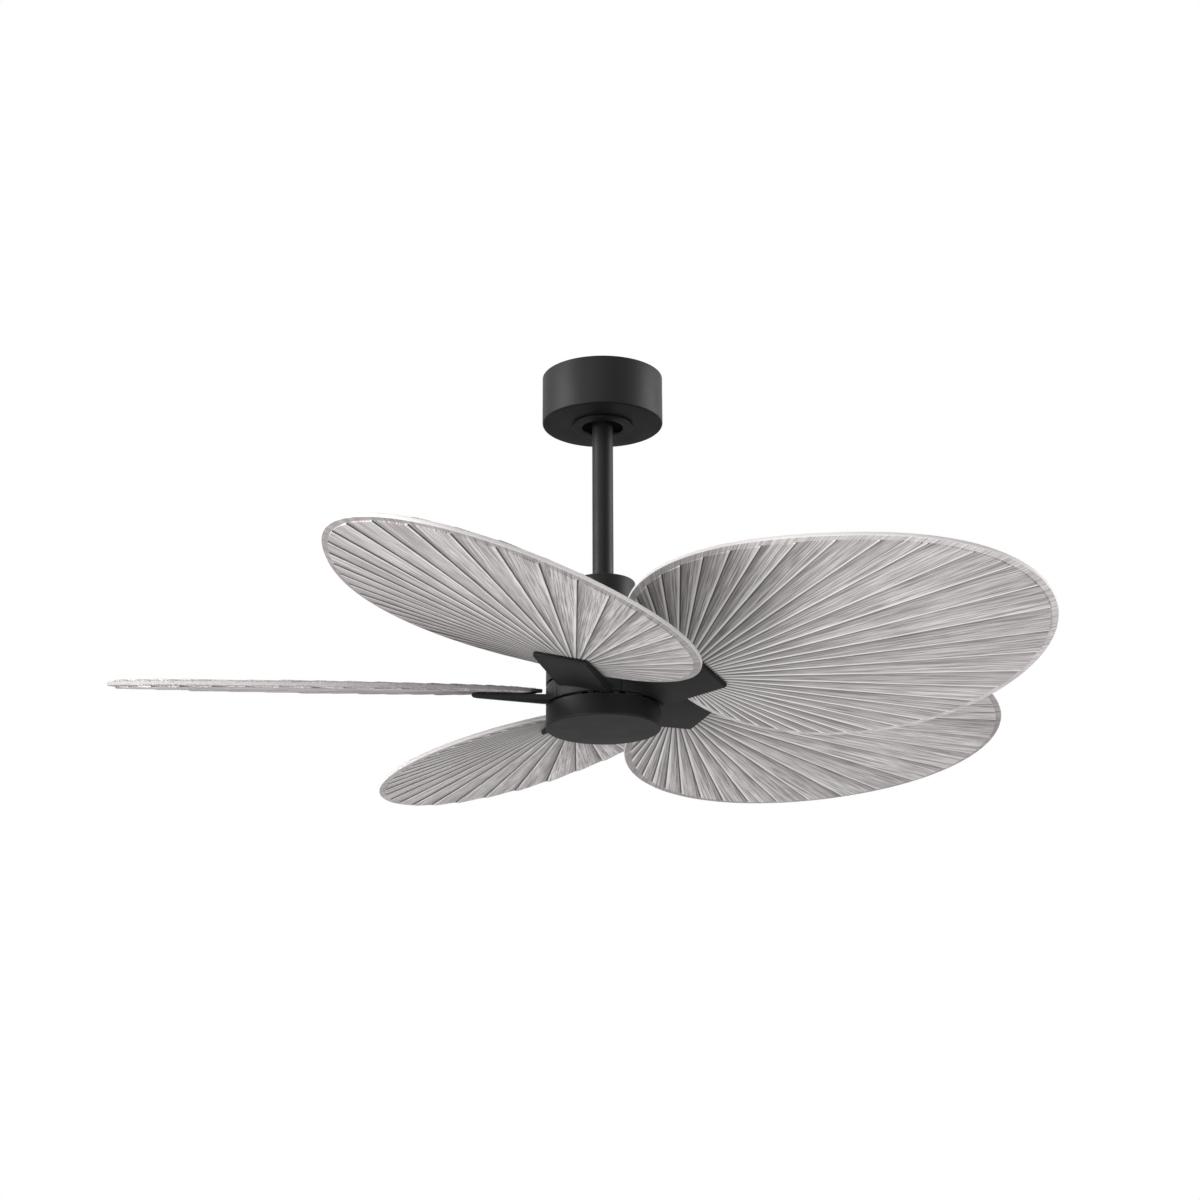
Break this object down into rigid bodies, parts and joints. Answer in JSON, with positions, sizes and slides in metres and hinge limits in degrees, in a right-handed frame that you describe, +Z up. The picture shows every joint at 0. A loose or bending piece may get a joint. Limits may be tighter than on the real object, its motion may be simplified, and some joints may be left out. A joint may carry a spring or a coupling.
{
  "type": "ceiling fan",
  "caption": "Ceiling fan on a downrod, with five broad pleated leaf blades on pitched arms round a drum motor, swinging on a hanger ball inside its canopy.",
  "frame": {"origin": "middle of the hanger bracket's top face, which lies against the ceiling", "axes": "+Z up out of the ceiling face, +X along the hanger bracket through its two ceiling screws; the fan hangs towards -Z, and -Y is the side that faces the viewer of the picture"},
  "size_m": [1.2301, 1.2696, 0.5061],
  "materials": {
    "black_powder_coated_steel": "matt black powder coat on steel",
    "black_powder_coated_casting": "matt black powder coat on die-cast aluminium",
    "washed_wood": "carved leaf in a weathered grey wash",
    "zinc_plated_steel": "zinc plated",
    "bright_steel": "bright turned steel",
    "moulded_plastic": "moulded black plastic",
    "ball_nylon": "black nylon",
    "lead_insulation": "wire insulation",
    "electrical_steel": "laminated electrical steel",
    "copper_wire": "enamelled copper wire",
    "ferrite": "sintered ferrite"
  },
  "bodies": {
    "mount": {"hanger_bracket": "zinc_plated_steel", "canopy": "black_powder_coated_steel", "screw_cover": "black_powder_coated_steel", "ceiling_screw_left": "bright_steel", "ceiling_screw_right": "bright_steel", "canopy_screw_left": "bright_steel", "canopy_screw_right": "bright_steel", "receiver_module": "moulded_plastic"},
    "pin": {"ball_cross_pin": "bright_steel"},
    "drop": {"hanger_ball": "ball_nylon", "ball_set_screw": "bright_steel", "downrod": "black_powder_coated_steel", "rod_coupling": "zinc_plated_steel", "clevis_pin": "bright_steel", "hairpin_clip": "bright_steel", "coupling_set_screw": "bright_steel", "coupling_cover": "black_powder_coated_steel", "motor_leads": "lead_insulation", "upper_housing": "black_powder_coated_steel", "motor_shaft": "bright_steel", "stator_core": "electrical_steel", "stator_windings": "copper_wire", "upper_bearing_inner": "bright_steel", "lower_bearing_inner": "bright_steel", "cap_plate": "zinc_plated_steel", "cap_nut": "zinc_plated_steel", "lower_cap": "black_powder_coated_steel"},
    "cages": {"upper_ball_cage": "bright_steel", "lower_ball_cage": "bright_steel"},
    "rotor": {"rotor_shell": "zinc_plated_steel", "magnet_ring": "ferrite", "rotor_end_plate": "zinc_plated_steel", "arm_retaining_ring": "zinc_plated_steel", "upper_bearing_outer": "bright_steel", "lower_bearing_outer": "bright_steel", "blade_arm_1": "black_powder_coated_casting", "blade_arm_2": "black_powder_coated_casting", "blade_arm_3": "black_powder_coated_casting", "blade_arm_4": "black_powder_coated_casting", "blade_arm_5": "black_powder_coated_casting", "blade_1": "washed_wood", "blade_2": "washed_wood", "blade_3": "washed_wood", "blade_4": "washed_wood", "blade_5": "washed_wood", "blade_screw_1_1": "bright_steel", "blade_screw_1_2": "bright_steel", "blade_screw_1_3": "bright_steel", "blade_screw_2_1": "bright_steel", "blade_screw_2_2": "bright_steel", "blade_screw_2_3": "bright_steel", "blade_screw_3_1": "bright_steel", "blade_screw_3_2": "bright_steel", "blade_screw_3_3": "bright_steel", "blade_screw_4_1": "bright_steel", "blade_screw_4_2": "bright_steel", "blade_screw_4_3": "bright_steel", "blade_screw_5_1": "bright_steel", "blade_screw_5_2": "bright_steel", "blade_screw_5_3": "bright_steel"}
  },
  "joints": [
    {"name": "swing_y", "type": "hinge", "parent": "mount", "child": "pin", "pos_m": [0, 0, -0.034], "axis": [0, 1, 0], "range_deg": [-12, 12]},
    {"name": "swing_x", "type": "hinge", "parent": "pin", "child": "drop", "pos_m": [0, 0, -0.034], "axis": [1, 0, 0], "range_deg": [-12, 12]},
    {"name": "rotor_spin", "type": "hinge", "parent": "drop", "child": "rotor", "pos_m": [0, 0, -0.448], "axis": [0, 0, 1], "continuous": true},
    {"name": "cage_spin", "type": "hinge", "parent": "drop", "child": "cages", "pos_m": [0, 0, -0.448], "axis": [0, 0, 1], "continuous": true}
  ],
  "couplings": [
    {"joint": "cage_spin", "follows": "rotor_spin", "ratio": 0.557}
  ]
}
